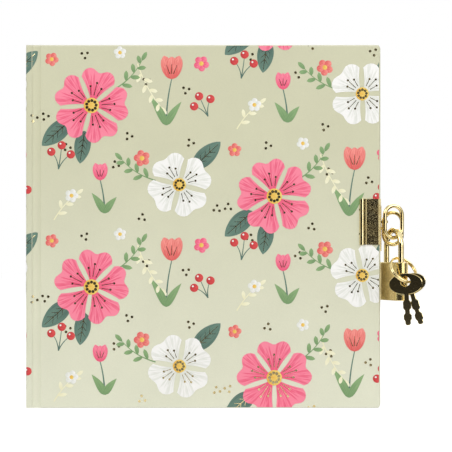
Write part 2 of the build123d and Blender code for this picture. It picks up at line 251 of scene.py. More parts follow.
def cover_paper():
    """Ground by height, with painted shade darker towards the head, lighter within a rub's width of head and
    tail, times the fibre's tone.
    """
    material, tree, shader = finish_tree("cover_paper")
    fibre = use_group(tree, FIBRE, **PAPER_FIBRE)
    height = axis_of(tree, place(tree), "Z")
    # painted shade: the ground darkens from the tail towards the head
    up = ramp(tree, height, COVER_LOW, COVER_HIGH * HEAD_SHADE_START)
    shaded_ground = mix_colour(tree, up, PAPER_TAIL_LIT, PAPER_HEAD_SHADED)
    rim = sums(tree, "MINIMUM", height, sums(tree, "SUBTRACT", COVER_HIGH, height))
    rubbed = ramp(tree, rim, 0.0, RUB_WIDTH, RUB_SHARE, 0.0)
    worn = mix_colour(tree, rubbed, shaded_ground, PAPER_RUBBED)
    shade = grey(tree, ramp(tree, fibre["Tone"], *NOISE_SPAN, 0.955, 1.045))
    tree.links.new(mix_colour(tree, 1.0, worn, shade, "MULTIPLY"), shader.inputs["Base Color"])
    tree.links.new(ramp(tree, fibre["Tone"], *NOISE_SPAN, 0.46, 0.58), shader.inputs["Roughness"])
    tree.links.new(bump(tree, fibre["Height"], 0.25, FIBRE_DEPTH), shader.inputs["Normal"])
    return material


COVER_PAPER = cover_paper()
dress(COVER_PAPER, "front_wrap", "spine_wrap", "back_wrap")

# %% [markdown]
# ## Page paper, board and cloth
# The leaves are smooth off-white paper. Their edges are cut in one stroke, so the block shows fine lines,
# one per leaf, which a stripe along the book's thickness gives as painted shade in the gaps between leaves.
# Inside the covers are grey board and a woven lining, seen only where the case is open; the lining's colour
# is darker between its threads, as painted shade.

# %% Page paper, board and cloth
LEAF_PITCH = 0.12 * MM
THREAD_PITCH = 0.7 * MM
TURN = 2 * math.pi
# the second leaf colour is painted shade for the gaps between leaves
LEAF, LEAF_GAP_SHADE = linear(247, 244, 234), linear(196, 190, 174)
# the dark cloth colour is painted shade between the threads
CLOTH, CLOTH_GAP_SHADE = linear(232, 226, 208), linear(170, 160, 138)
END_LIGHT, END_DARK = linear(246, 243, 230), linear(236, 231, 214)
BOARD_LIGHT, BOARD_DARK = linear(164, 160, 150), linear(128, 124, 114)
CLOUD_PER_GRAIN = 1 / 20


def leaf_paper():
    """A sine along the thickness, one turn per leaf, paints shade into the gaps where the face is a cut edge.
    """
    material, tree, shader = finish_tree("leaf_paper")
    fibre = use_group(tree, FIBRE, Grain=3000.0, Cloud=80.0)
    thickness = axis_of(tree, place(tree), "Y")
    wave = sums(tree, "SINE", sums(tree, "MULTIPLY", thickness, TURN / LEAF_PITCH))
    normal = put(tree, "ShaderNodeTexCoord").outputs["Normal"]
    facing = sums(tree, "ABSOLUTE", axis_of(tree, normal, "Y"))
    edge = sums(tree, "SUBTRACT", 1.0, facing)
    # painted shade in the gaps between leaves, on cut edges only
    gap_shade = sums(tree, "MULTIPLY", ramp(tree, wave, 0.1, 1.0), edge)
    uneven = sums(tree, "MULTIPLY", gap_shade, ramp(tree, fibre["Tone"], 0.35, 0.65, 0.4, 1.0))
    colour = mix_colour(tree, uneven, LEAF, LEAF_GAP_SHADE)
    tree.links.new(colour, shader.inputs["Base Color"])
    tree.links.new(ramp(tree, fibre["Tone"], *NOISE_SPAN, 0.7, 0.85), shader.inputs["Roughness"])
    relief = sums(tree, "SUBTRACT", sums(tree, "MULTIPLY", fibre["Height"], 0.4), uneven)
    tree.links.new(bump(tree, relief, 0.35, 0.04 * MM), shader.inputs["Normal"])
    return material


def fibre_stock(name, light, dark, grain, depth):
    """Plain stock with fibre: end paper and grey board."""
    material, tree, shader = finish_tree(name)
    fibre = use_group(tree, FIBRE, Grain=grain, Cloud=grain * CLOUD_PER_GRAIN)
    colour = mix_colour(tree, ramp(tree, fibre["Tone"], *NOISE_SPAN), dark, light)
    tree.links.new(colour, shader.inputs["Base Color"])
    tree.links.new(ramp(tree, fibre["Height"], *NOISE_SPAN, 0.7, 0.9), shader.inputs["Roughness"])
    tree.links.new(bump(tree, fibre["Height"], 0.4, depth), shader.inputs["Normal"])
    return material


def lining_cloth():
    """Open plain weave: two sets of threads, each over and under the other, with painted shade between the
    threads.
    """
    material, tree, shader = finish_tree("lining_cloth")
    along = put(tree, "ShaderNodeSeparateXYZ", None, Vector=place(tree))
    thread = TURN / THREAD_PITCH
    warp = sums(tree, "SINE", sums(tree, "MULTIPLY", along.outputs["Y"], thread))
    weft = sums(tree, "SINE", sums(tree, "MULTIPLY", along.outputs["Z"], thread))
    weave = sums(tree, "MAXIMUM", warp, weft)
    share = ramp(tree, weave, -0.6, 1.0)
    # painted shade: the cloth turns dark where the threads dip, between them
    tree.links.new(mix_colour(tree, share, CLOTH_GAP_SHADE, CLOTH), shader.inputs["Base Color"])
    tree.links.new(ramp(tree, share, 0.0, 1.0, 0.95, 0.8), shader.inputs["Roughness"])
    tree.links.new(bump(tree, share, 0.6, 0.08 * MM), shader.inputs["Normal"])
    return material


SECTIONS = [name for name in nodes if name.startswith("section_")]
dress(leaf_paper(), *SECTIONS)
end_paper = fibre_stock("end_paper", END_LIGHT, END_DARK, 2600.0, 0.03 * MM)
dress(end_paper, "front_pastedown", "back_pastedown", "front_flyleaf", "back_flyleaf")
grey_board = fibre_stock("grey_board", BOARD_LIGHT, BOARD_DARK, 1200.0, 0.06 * MM)
dress(grey_board, "front_board", "back_board", "spine_board")
dress(lining_cloth(), "spine_lining")
print("sections dressed:", len(SECTIONS))

# %% [markdown]
# ## Gold and steel
# The fittings are steel with a thin gold plating. Wire and edges are polished, so they mirror the room. The
# clips' flat fields and the sides of the lock are blasted with fine grit, which leaves small grains. Each
# grain is a cell with a value of its own: it sets how rough the grain is and how much painted shade darkens
# its colour, so some catch the light. On the clips' fields this painted shade also stands for the dark that
# the flat field mirrors, and the lock's case has a lighter gold, painted light for its side, which stands in
# shade beside the book. Coarse grit also scatters part of the light as a matt surface does. One recipe
# makes polished and blasted metal, with a mask for where it is blasted.

# %% Gold and steel
GOLD = linear(240, 224, 172)
GOLD_DEEP = linear(206, 178, 112)
# painted light: a lighter gold for the lock's case, whose side stands in shade beside the book
CASE_GOLD_LIT = linear(255, 234, 166)
# painted shade: the brown that blasted grains are mixed towards
PAINTED_PIT_SHADE = linear(160, 122, 50)
# shade is the share of painted shade in the grains; on the clips it also stands for the dark that the flat
# field mirrors
DARK_GRIT = dict(grain=2900.0, smooth=0.11, rough=0.27, shade=0.6, depth=0.002 * MM, matt=0.0)
BRIGHT_GRIT = dict(grain=1800.0, smooth=0.45, rough=0.66, shade=0.45, depth=0.02 * MM, matt=0.45)
STEEL = linear(196, 196, 194)
STEEL_DARK = linear(150, 150, 150)
METAL_CLOUD = 240.0
SCRATCH_SHARE = 0.06
FIELD_START, FIELD_END = 3.5 * MM, 8.6 * MM
FIELD_SOFT = 0.15 * MM
LOCK_TURN = 68.0
FLAT_HALF = 7.2 * MM
FLAT_SOFT = 0.3 * MM
TOP_SOFT = 0.1 * MM


def plated(name, light, deep, rough, mask=None, blasted=BRIGHT_GRIT):
    """Polished metal. Where mask is 1 it is blasted: each grain has its roughness, painted shade and height.
    """
    material, tree, shader = finish_tree(name)
    metal = use_group(tree, METAL, Cloud=METAL_CLOUD, Pits=blasted["grain"])
    tint = ramp(tree, metal["Cloud"], 0.35, 0.7, 0.0, 0.6)
    colour = mix_colour(tree, tint, light, deep)
    roughness = ramp(tree, metal["Cloud"], *NOISE_SPAN, rough * 0.8, rough * 1.3)
    height = sums(tree, "MULTIPLY", metal["Scratch"], SCRATCH_SHARE)
    if mask:
        field = mask(tree)
        speckle = metal["Pits"]
        grain_rough = ramp(tree, speckle, 0.0, 1.0, blasted["smooth"] - rough, blasted["rough"] - rough)
        roughness = sums(tree, "ADD", roughness, sums(tree, "MULTIPLY", field, grain_rough))
        # painted shade mixed into the grains' colour
        painted_pit_shade = ramp(tree, speckle, 0.0, 1.0, blasted["shade"], 0.0)
        colour = mix_colour(tree, sums(tree, "MULTIPLY", field, painted_pit_shade), colour, PAINTED_PIT_SHADE)
        height = sums(tree, "ADD", height, sums(tree, "MULTIPLY", field, speckle))
        matt = sums(tree, "MULTIPLY", field, blasted["matt"])
        tree.links.new(sums(tree, "SUBTRACT", 1.0, matt), shader.inputs["Metallic"])
    tree.links.new(colour, shader.inputs["Base Color"])
    tree.links.new(roughness, shader.inputs["Roughness"])
    tree.links.new(bump(tree, height, 0.5, blasted["depth"]), shader.inputs["Normal"])
    shader.inputs["Metallic"].default_value = 1.0
    return material


def between(tree, value, low, high, soft):
    """1 where value lies between two limits, with soft borders."""
    rise = ramp(tree, value, low, low + soft)
    fall = ramp(tree, value, high - soft, high, 1.0, 0.0)
    return sums(tree, "MULTIPLY", rise, fall)


def clip_field(node):
    """Mask of a clip's flat field: between the bead and the rolled edge."""
    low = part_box(node)[0].x

    def mask(tree):
        across = axis_of(tree, place(tree), "X")
        return between(tree, across, low + FIELD_START, low + FIELD_END, FIELD_SOFT)

    return mask


lock_low, lock_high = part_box("lock_case")


def lock_sides(tree):
    """Mask of the padlock's flat sides: near the middle of its width, below the top face."""
    centre = (lock_low + lock_high) / 2
    turned = place(tree, turn=(0, 0, math.radians(LOCK_TURN)), centre=tuple(centre))
    parts = put(tree, "ShaderNodeSeparateXYZ", None, Vector=turned)
    across = sums(tree, "ABSOLUTE", parts.outputs["X"])
    top = (lock_high.z - lock_low.z) / 2 - FLAT_SOFT
    side = ramp(tree, across, FLAT_HALF, FLAT_HALF + FLAT_SOFT, 1.0, 0.0)
    below = ramp(tree, parts.outputs["Z"], top - TOP_SOFT, top, 1.0, 0.0)
    return sums(tree, "MULTIPLY", side, below)


for clip in ("front_clip", "back_clip"):
    # the clips' flat fields are darkened with painted shade
    dress(plated(clip + "_gold", GOLD, GOLD_DEEP, 0.16, clip_field(clip), DARK_GRIT), clip)
dress(plated("wire_gold", GOLD, GOLD_DEEP, 0.13), "front_ring", "back_ring", "shackle", "key_ring")
dress(plated("key_gold", GOLD, GOLD_DEEP, 0.1), "key_1", "key_2")
# the lock's case uses the lighter gold as painted light
dress(plated("lock_gold", CASE_GOLD_LIT, GOLD_DEEP, 0.15, lock_sides, BRIGHT_GRIT), "lock_case")
dress(plated("base_gold", GOLD, GOLD_DEEP, 0.2), "lock_base")
spring_steel = plated("spring_steel", STEEL, STEEL_DARK, 0.28)
dress(spring_steel, "ward_plate_1", "ward_plate_2", "latch_spring", "shackle_spring")
print("metal finishes:", [m.name for m in bpy.data.materials if m.name.endswith(("gold", "steel"))])

# %% [markdown]
# ## The printed sheet as one flat plan
# On the real case one sheet of paper runs from the front over the spine to the back, and it is printed
# while it is flat. So the pattern is laid out on a flat plan too, in millimetres: u runs across the sheet,
# from zero at the front hinge line, and v runs up it. The fold functions then carry each point of the plan
# to its place on the case. The hinge line parts what turns with the front cover from what stays with the
# spine, and the film of ink thins out towards it, so that an open cover doesn't press ink into ink.

# %% Fold the plan over the case
EDGE_BARE = 0.38
HINGE_BARE = 0.12
HINGE_TAPER = 0.5
TAPER_LEAST = 0.3
SEAM = 0.02
GROOVE_WIDTH = 4.07
GROOVE_DEPTH = 0.8
SPINE_R = 1.1
spine_low, spine_high = (np.array(corner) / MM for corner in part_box("spine_wrap"))
sheet_low, sheet_high = (np.array(corner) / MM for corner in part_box("front_wrap"))
back_low, back_high = (np.array(corner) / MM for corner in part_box("back_wrap"))
SHEET_HEIGHT = sheet_high[2]
FRONT_SPAN = sheet_high[0] - sheet_low[0]
BACK_SPAN = back_high[0] - back_low[0]
SPINE_SIDE = spine_high[0] - spine_low[0] - SPINE_R
SPINE_FLAT = spine_high[1] - spine_low[1] - 2 * SPINE_R
SPINE_ARC = math.pi / 2 * SPINE_R
SPINE_SPAN = 2 * SPINE_SIDE + 2 * SPINE_ARC + SPINE_FLAT


def groove_dip(distance):
    """Depth of the groove beside the spine: an arc between the hinge line and the board."""
    half = GROOVE_WIDTH / 2
    radius = (half**2 + GROOVE_DEPTH**2) / (2 * GROOVE_DEPTH)
    off = np.clip(distance - half, -half, half)
    return np.sqrt(radius**2 - off**2) - (radius - GROOVE_DEPTH)


def hinge_taper(distance):
    """Share of the film's lift: it thins out towards the hinge line, where the covers fold on each other."""
    return np.clip(TAPER_LEAST + (1 - TAPER_LEAST) * distance / HINGE_TAPER, TAPER_LEAST, 1.0)


def fold_front(u, v, lift):
    """The front cover: flat, with the groove near the hinge line."""
    depth = groove_dip(u) - lift * hinge_taper(u)
    return np.stack([sheet_low[0] + u, sheet_low[1] + depth, v], axis=1)


def fold_back(u, v, lift):
    """The back cover, seen from behind, so u runs the other way."""
    distance = -u - SPINE_SPAN
    return np.stack([back_low[0] + distance, back_high[1] - groove_dip(distance) + lift, v], axis=1)


def fold_spine(u, v, lift):
    """Round the spine: side, quarter circle, flat, quarter circle, side; lift moves along the normal."""
    s = -u
    first = np.clip((s - SPINE_SIDE) / SPINE_R, 0, math.pi / 2)
    second = np.clip((s - SPINE_SIDE - SPINE_ARC - SPINE_FLAT) / SPINE_R, 0, math.pi / 2)
    turn = first + second
    along_side = np.clip(s, 0, SPINE_SIDE)
    along_flat = np.clip(s - SPINE_SIDE - SPINE_ARC, 0, SPINE_FLAT)
    along_last = np.clip(s - SPINE_SPAN + SPINE_SIDE, 0, SPINE_SIDE)
    out_x, out_y = -np.sin(turn), -np.cos(turn)
    centre_x = spine_high[0] - along_side + along_last
    centre_y = spine_low[1] + SPINE_R + along_flat
    reach = SPINE_R + lift * hinge_taper(s)
    return np.stack([centre_x + reach * out_x, centre_y + reach * out_y, v], axis=1)


ZONES = {
    "front": (fold_front, HINGE_BARE, FRONT_SPAN - EDGE_BARE, "front_cover"),
    "spine": (fold_spine, -SPINE_SPAN + SEAM, -HINGE_BARE, "back_cover"),
    "back": (fold_back, -SPINE_SPAN - BACK_SPAN + EDGE_BARE, -SPINE_SPAN - SEAM, "back_cover"),
}
print("flat sheet in mm:", round(FRONT_SPAN + SPINE_SPAN + BACK_SPAN, 1), "x", round(SHEET_HEIGHT, 1))

# %% [markdown]
# ## Shapes of ink
# Every mark is a patch: a function of two parameters on a grid. s runs along a leaf or petal and t across
# it. Patches are finer near the spine, where they have to bend. Each one is kept with its ink and its level,
# because a later ink lies on an earlier one, and with s and t as its own map, so that streaks follow it.

# %% Shapes of ink
FILM = 0.012
COARSE, FINE = 1.1, 0.45
TIP_INSET = 0.004
NOTCH_WIDTH = 0.3
FAN_BASE, FAN_POWER = 0.62, 0.7
SPOT_POINTS = 7
STEM_TAPER = 0.45
marks = []


def pitch_at(u, reach):
    """Grid pitch: fine where a mark may cross the groove or the spine."""
    return FINE if -SPINE_SPAN - GROOVE_WIDTH - reach < u < GROOVE_WIDTH + reach else COARSE


def grid(n, m):
    """s and t on a grid of n by m points, t from -1 to 1, and its quads."""
    s, t = np.meshgrid(np.linspace(0.0, 1.0, n), np.linspace(-1.0, 1.0, m), indexing="ij")
    index = np.arange(n * m).reshape(n, m)
    quads = np.stack([index[:-1, :-1], index[1:, :-1], index[1:, 1:], index[:-1, 1:]], axis=-1)
    return s.ravel(), t.ravel(), quads.reshape(-1, 4)


def keep(ink, level, along, across, base, angle, quads, s, t):
    """Turns local points to an angle in degrees, moves them to base and keeps the patch."""
    c, d = math.cos(math.radians(angle)), math.sin(math.radians(angle))
    plan = np.stack([base[0] + along * c - across * d, base[1] + along * d + across * c], axis=1)
    marks.append((ink, level, plan, np.stack([(t + 1) / 2, s], axis=1), quads))


def blade(ink, level, base, angle, length, width, full=0.8, tip=0.9, bend=0.0):
    """Leaf: half-width is s^full (1-s)^tip, scaled to its peak; bend curves the midrib sideways."""
    pitch = pitch_at(base[0], length)
    s, t, quads = grid(max(6, math.ceil(length / pitch)), max(3, math.ceil(width / pitch)))
    s = TIP_INSET + (1 - 2 * TIP_INSET) * s
    peak = full / (full + tip)
    outline = (s / peak) ** full * ((1 - s) / (1 - peak)) ** tip
    keep(ink, level, s * length, t * width / 2 * outline + bend * s**2, base, angle, quads, s, t)


def fan_petal(ink, level, centre, angle, inner, outer, spread, notch, shoulder):
    """Petal as a fan: its rim is outer, less a notch at t = 0 and rounded shoulders at t = 1 and -1."""
    pitch = pitch_at(centre[0], outer)
    s, t, quads = grid(max(5, math.ceil(outer / pitch)), max(9, math.ceil(outer / pitch)))
    rim = outer * (1 - notch * np.exp(-((t / NOTCH_WIDTH) ** 2)) - shoulder * np.abs(t) ** 4)
    swing = np.radians(spread) * t * (FAN_BASE + (1 - FAN_BASE) * s**FAN_POWER)
    radius = inner + (rim - inner) * s
    keep(ink, level, radius * np.cos(swing), radius * np.sin(swing), centre, angle, quads, s, t)


def spot(ink, level, centre, radius):
    """Round spot: a square grid drawn onto a disc."""
    s, t, quads = grid(SPOT_POINTS, SPOT_POINTS)
    x, y = 2 * s - 1, t
    along = radius * x * np.sqrt(1 - y * y / 2)
    across = radius * y * np.sqrt(1 - x * x / 2)
    keep(ink, level, along, across, centre, 0, quads, s, t)


def stem(ink, level, start, middle, end, width):
    """Ribbon along a curve with three control points, a little thinner at its end."""
    length = np.linalg.norm(np.subtract(end, start))
    s, t, quads = grid(max(8, math.ceil(length / pitch_at(start[0], length))), 2)
    a, b, c = (np.array(p, float)[:, None] for p in (start, middle, end))
    line = a * (1 - s) ** 2 + b * 2 * s * (1 - s) + c * s**2
    run = (b - a) * (1 - s) + (c - b) * s
    run = run / np.linalg.norm(run, axis=0)
    half = t * width / 2 * (1 - STEM_TAPER * s)
    keep(ink, level, line[0] - run[1] * half, line[1] + run[0] * half, (0, 0), 0, quads, s, t)


# %% [markdown]
# ## Motifs
# The print is an all-over pattern of plain garden shapes: open blossoms with notched petals, tulips, leaf
# sprigs, twigs of berries and small dots. Foil is stamped on flower hearts, leaf veins and dots. Each motif
# is a short function that calls the shapes of ink, and each kind of mark has its level in the stack.


# %% Motifs
STALK, LEAF_LEVEL, VEIN, FRUIT, PETAL, EYE, FOIL_LINE, HEART, SEED = range(1, 10)
DOT = LEAF_LEVEL
STAMENS = ((-17, 0.5), (0, 0.6), (17, 0.5))
SEEDS = 9
VEIN_SHARES = (0.25, 0.42, 0.59)
VEIN_ANGLE = 42
LEAF_ANGLE = 48
LEAF_ASPECT = 0.42
LINE = 0.35
BERRY_R, FLECK_R = 1.9, 0.45
DOT_REACH, DOT_R = 1.5, 0.62


def polar(centre, angle, distance):
    """Point at an angle and distance from a centre."""
    a = math.radians(angle)
    return centre[0] + distance * math.cos(a), centre[1] + distance * math.sin(a)


def blossom(centre, radius, turn, ink, petals, spread, notch):
    """Open flower: petals round a foil heart, with stamens between the heart and the petals' middle."""
    for k in range(petals):
        angle = turn + 360 / petals * k
        fan_petal(ink, PETAL + 0.2 * k, centre, angle, radius * 0.12, radius, spread, notch, 0.2)
        for offset, reach in STAMENS:
            first = polar(centre, angle + offset, radius * 0.27)
            last = polar(centre, angle + offset, radius * reach)
            stem("foil", FOIL_LINE, first, np.add(first, last) / 2, last, LINE)
            spot("foil", FOIL_LINE, last, 0.5)
    spot("yellow", HEART, centre, radius * 0.2)
    for k in range(SEEDS):
        spot("foil", SEED, polar(centre, turn + 360 / SEEDS * k, radius * 0.125), radius * 0.04)


def broad_leaf(base, angle, length, width):
    """Dark oval leaf with a foil midrib and paired side veins."""
    blade("deep_green", LEAF_LEVEL, base, angle, length, width, 0.6, 0.8)
    foot, middle, end = (polar(base, angle, length * share) for share in (0.06, 0.5, 0.9))
    stem("foil", VEIN, foot, middle, end, 0.4)
    for share in VEIN_SHARES:
        root = polar(base, angle, length * share)
        for side in (-1, 1):
            end = polar(root, angle + side * VEIN_ANGLE, width * 0.36)
            stem("foil", VEIN, root, np.add(root, end) / 2, end, 0.3)


def sprig(base, angle, length, count, ink, leaf=4.6, bend=5.0):
    """Curved stalk with leaves set alternately left and right, and one at its end."""
    side_way = (-math.sin(math.radians(angle)), math.cos(math.radians(angle)))
    end = np.array(polar(base, angle, length)) + bend * np.array(side_way)
    middle = np.array(polar(base, angle, length * 0.55))
    stem(ink, STALK, base, middle, end, 0.55)
    for k in range(count):
        s = 0.2 + 0.72 * k / max(1, count - 1)
        at = np.array(base) * (1 - s) ** 2 + middle * 2 * s * (1 - s) + end * s**2
        heading = angle + math.degrees(math.atan2(2 * bend * s, length))
        side = 1 if k % 2 else -1
        long = leaf * (1.15 - 0.35 * s)
        blade(ink, LEAF_LEVEL + 0.1 * k, at, heading + side * LEAF_ANGLE, long, leaf * LEAF_ASPECT, 0.7, 0.6)
    last = angle + math.degrees(math.atan2(2 * bend, length))
    blade(ink, LEAF_LEVEL, end, last, leaf, leaf * LEAF_ASPECT, 0.7, 0.6)


def tulip(base, top, size, ink):
    """Tulip: stalk, two long leaves and a cup of three pointed petals with a foil line on each."""
    middle = (base[0], (base[1] + top[1]) / 2)
    stem("deep_green", STALK, base, middle, top, 0.8)
    rise = top[1] - base[1]
    blade("leaf_green", LEAF_LEVEL, base, 112, rise * 0.72, 3.6, 0.5, 1.0, 2.0)
    blade("leaf_green", LEAF_LEVEL + 0.5, base, 66, rise * 0.6, 3.4, 0.5, 1.0, -2.0)
    for k, (lean, wide) in enumerate(((26, 0.46), (-26, 0.46), (0, 0.56))):
        long = size * (1.0 if lean else 0.92)
        blade(ink, PETAL + 0.3 * k, top, 90 + lean, long, size * wide, 0.55, 0.5, -0.05 * lean)
        foot = polar(top, 90 + lean * 0.7, size * 0.22)
        tip = polar(top, 90 + lean * 0.8, size * 0.62)
        stem("foil", FOIL_LINE, foot, np.add(top, tip) / 2, tip, LINE)


def berry_twig(base, angle, reach):
    """Twig with three berries, each with a light fleck."""
    for lean, share in ((-28, 0.8), (4, 1.0), (34, 0.78)):
        end = polar(base, angle + lean, reach * share)
        middle = polar(base, angle + lean * 0.4, reach * share * 0.55)
        stem("deep_green", STALK, base, middle, end, 0.5)
        spot("red", FRUIT, end, BERRY_R)
        spot("white", FRUIT + 1, (end[0] - 0.6, end[1] + 0.7), FLECK_R)


def floret(centre, radius, turn, ink):
    """Small flower of five round petals."""
    for k in range(5):
        spot(ink, FRUIT + 0.1 * k, polar(centre, turn + 72 * k, radius * 0.6), radius * 0.44)
    spot("yellow", EYE, centre, radius * 0.3)


def dots(centre, turn):
    """Three foil dots in a triangle."""
    for k in range(3):
        spot("foil", DOT, polar(centre, turn + 120 * k, DOT_REACH), DOT_R)


# %% [markdown]
# ## Layout of the print
# A fabric printer repeats one tile, and sets every second column half a tile lower so that no rows show.
# The tile divides the sheet evenly. A seeded generator turns each flower a little, so the repeat isn't
# stiff.

# %% Layout of the print
TILE_WIDTH = (FRONT_SPAN + SPINE_SPAN + BACK_SPAN) / 4
TILE_HEIGHT = SHEET_HEIGHT / 2
COLUMNS = range(-3, 3)
ROWS = range(-1, 3)
TILE_SHIFT = 4
LOOSE_TURN = 20
FLORETS = (
    (46, 31, 3.6, "coral"),
    (73, 74, 3.4, "pink"),
    (5, 76, 3.0, "coral"),
    (36, 79, 2.8, "white"),
    (14, 14, 3.0, "white"),
)
DOTS = ((40, 41), (48, 66), (68, 38), (80, 8), (46, 4), (12, 36), (66, 62), (20, 78), (2, 50), (34, 28))
rng = np.random.default_rng(11)


def tile(u, v):
    """One repeat of the pattern, from its lower left corner."""
    turn = rng.uniform(-LOOSE_TURN, LOOSE_TURN)
    pink, white = (u + 23, v + 55), (u + 63, v + 19)
    broad_leaf(polar(pink, 215, 12), 222, 17, 8.5)
    broad_leaf(polar(pink, 255, 12), 262, 15, 7.5)
    sprig(polar(pink, 35, 13), 30, 17, 6, "leaf_green")
    blossom(pink, 17.5, 18 + turn, "pink", 5, 33, 0.14)
    broad_leaf(polar(white, 50, 10), 44, 17, 8.0)
    sprig(polar(white, 170, 11), 165, 17, 6, "leaf_green", 4.6, -5.0)
    blossom(white, 15.0, 45 + turn, "white", 4, 41, 0.12)
    tulip((u + 57, v + 46), (u + 59.5, v + 67), 11.0, "coral")
    tulip((u + 29, v + 6), (u + 27, v + 21), 8.0, "pink")
    berry_twig((u + 8, v + 26), 78, 11)
    berry_twig((u + 76, v + 50), 110, 10)
    sprig((u + 44, v + 74), 288, 22, 7, "straw", 4.2, 4.0)
    sprig((u + 6, v + 3), 60, 15, 5, "straw", 4.0, -3.0)
    for place_u, place_v, size, ink in FLORETS:
        floret((u + place_u, v + place_v), size, turn + place_u, ink)
    for place_u, place_v in DOTS:
        dots((u + place_u, v + place_v), turn * 3 + place_v)


for column in COLUMNS:
    for row in ROWS:
        tile(column * TILE_WIDTH + TILE_SHIFT, (row - 0.5 * (column % 2)) * TILE_HEIGHT)
print("patches of ink:", len(marks))

# %% [markdown]
# ## Inks and foil
# The inks lie in the same paper, so they show its fibre. Each petal and leaf runs from a stronger colour at
# its base to a lighter one at its rim, with fine streaks along it. Foil is a film of polished metal, so it
# is dark where it mirrors something dark and gold where it mirrors the room.

# %% Inks and foil
STREAK_SCALE = (9.0, 0.8, 1.0)
STREAK_SPAN = (0.4, 0.62)


def ink_finish(name, base, rim, streak):
    """Printed ink: colour from base to rim along the mark's own map, fine streaks, and the paper's fibre."""
    material, tree, shader = finish_tree(name)
    fibre = use_group(tree, FIBRE, **PAPER_FIBRE)
    own = put(tree, "ShaderNodeUVMap", {"uv_map": "mark"}).outputs[0]
    stretched = put(tree, "ShaderNodeMapping", None, Vector=own, Scale=STREAK_SCALE).outputs[0]
    lines = ramp(tree, noise(tree, stretched, 2.0, 2.0), *STREAK_SPAN, -streak, streak)
    share = sums(tree, "ADD", axis_of(tree, own, "Y"), lines)
    colour = mix_colour(tree, put(tree, "ShaderNodeClamp", None, Value=share).outputs[0], base, rim)
    shade = grey(tree, ramp(tree, fibre["Tone"], *NOISE_SPAN, 0.97, 1.03))
    tree.links.new(mix_colour(tree, 1.0, colour, shade, "MULTIPLY"), shader.inputs["Base Color"])
    tree.links.new(ramp(tree, fibre["Tone"], *NOISE_SPAN, 0.42, 0.55), shader.inputs["Roughness"])
    tree.links.new(bump(tree, fibre["Height"], 0.2, FIBRE_DEPTH), shader.inputs["Normal"])
    return material


INKS = {
    "pink": ink_finish("pink_ink", linear(240, 84, 122), linear(255, 138, 162), 0.55),
    "coral": ink_finish("coral_ink", linear(226, 92, 88), linear(250, 150, 140), 0.5),
    "red": ink_finish("red_ink", linear(196, 44, 52), linear(226, 76, 74), 0.4),
    "white": ink_finish("white_ink", linear(226, 228, 218), linear(252, 251, 247), 0.5),
    "yellow": ink_finish("yellow_ink", linear(236, 184, 70), linear(248, 216, 112), 0.4),
    "leaf_green": ink_finish("leaf_green_ink", linear(118, 154, 102), linear(144, 178, 122), 0.5),
    "deep_green": ink_finish("deep_green_ink", linear(82, 112, 100), linear(104, 136, 120), 0.5),
    "straw": ink_finish("straw_ink", linear(240, 236, 196), linear(250, 247, 216), 0.3),
    "foil": plated("gold_foil", GOLD, GOLD_DEEP, 0.2),
}
print("inks:", list(INKS))

# %% [markdown]
# ## Films of ink on the case
# A press lays one ink after the other, each a few thousandths of a millimetre thick. Here each ink is one
# mesh per cover: its marks are cut at the sheet's borders, folded over the case and lifted by their level.
# The films ride on the body that carries the paper, so the print on the front turns with the cover.

# %% Films of ink on the case
OWN_LIFT = 0.45
GOLDEN = 0.618034


def clip_marks(zone, ink):
    """Marks of one ink on one zone: points past the border are drawn back to it, faces outside it go.

    Each mark has a lift of its own, a step of the golden ratio, so crossing marks never share a plane.
    """
    fold, low, high, _ = ZONES[zone]
    mid_v, half_v = SHEET_HEIGHT / 2, SHEET_HEIGHT / 2 - EDGE_BARE
    points, maps, faces, count = [], [], [], 0
    for number, (mark_ink, level, plan, own_map, quads) in enumerate(marks):
        u, v = plan[:, 0], plan[:, 1] - mid_v
        outside = u.max() <= low or u.min() >= high or v.max() <= -half_v or v.min() >= half_v
        if mark_ink != ink or outside:
            continue
        sides = np.stack([u <= low, u >= high, v <= -half_v, v >= half_v], axis=1)
        inside = ~sides[quads].all(axis=1).any(axis=1)
        used, place_of = np.unique(quads[inside], return_inverse=True)
        u, v = np.clip(u[used], low, high), np.clip(v[used], -half_v, half_v)
        own_lift = OWN_LIFT * (number * GOLDEN % 1.0)
        points.append(fold(u, v + mid_v, FILM * (1 + level + own_lift)))
        maps.append(own_map[used])
        faces.append(place_of.reshape(-1, 4) + count)
        count += len(used)
    if not points:
        return None
    return np.concatenate(points), np.concatenate(maps), np.concatenate(faces)


def make_film(name, points, own_map, faces):
    """A mesh from arrays in millimetres, with each corner's place on the mark as a UV map."""
    mesh = bpy.data.meshes.new(name)
    mesh.from_pydata((points * MM).tolist(), [], faces.tolist())
    layer = mesh.uv_layers.new(name="mark")
    corners = np.zeros(len(mesh.loops), int)
    mesh.loops.foreach_get("vertex_index", corners)
    layer.data.foreach_set("uv", own_map[corners].ravel())
    mesh.update()
    piece = bpy.data.objects.new(name, mesh)
    bpy.context.scene.collection.objects.link(piece)
    return piece


for zone, (_, _, _, body) in ZONES.items():
    for ink, finish in INKS.items():
        made = clip_marks(zone, ink)
        if made is None:
            continue
        film = make_film(f"print_{zone}_{ink}", *made)
        film.data.materials.append(finish)
        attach(film, body)
        print(film.name, len(film.data.polygons), "faces")

# %% [markdown]
# ## Floor, room and light
# The floor and the world are white to the camera and to reflections, and light the object at a plainer
# level. Three large soft lamps stand in front at the left, in front at the right, and behind. Black cards
# stand behind the camera and at the other three sides, each with a foot on the floor, and a white strip
# glows beside the front card. Only reflections see them. A photo studio sets such cards too: flat polished
# metal that faces a card reads dark, and round metal gets dark and bright lines that show its form.

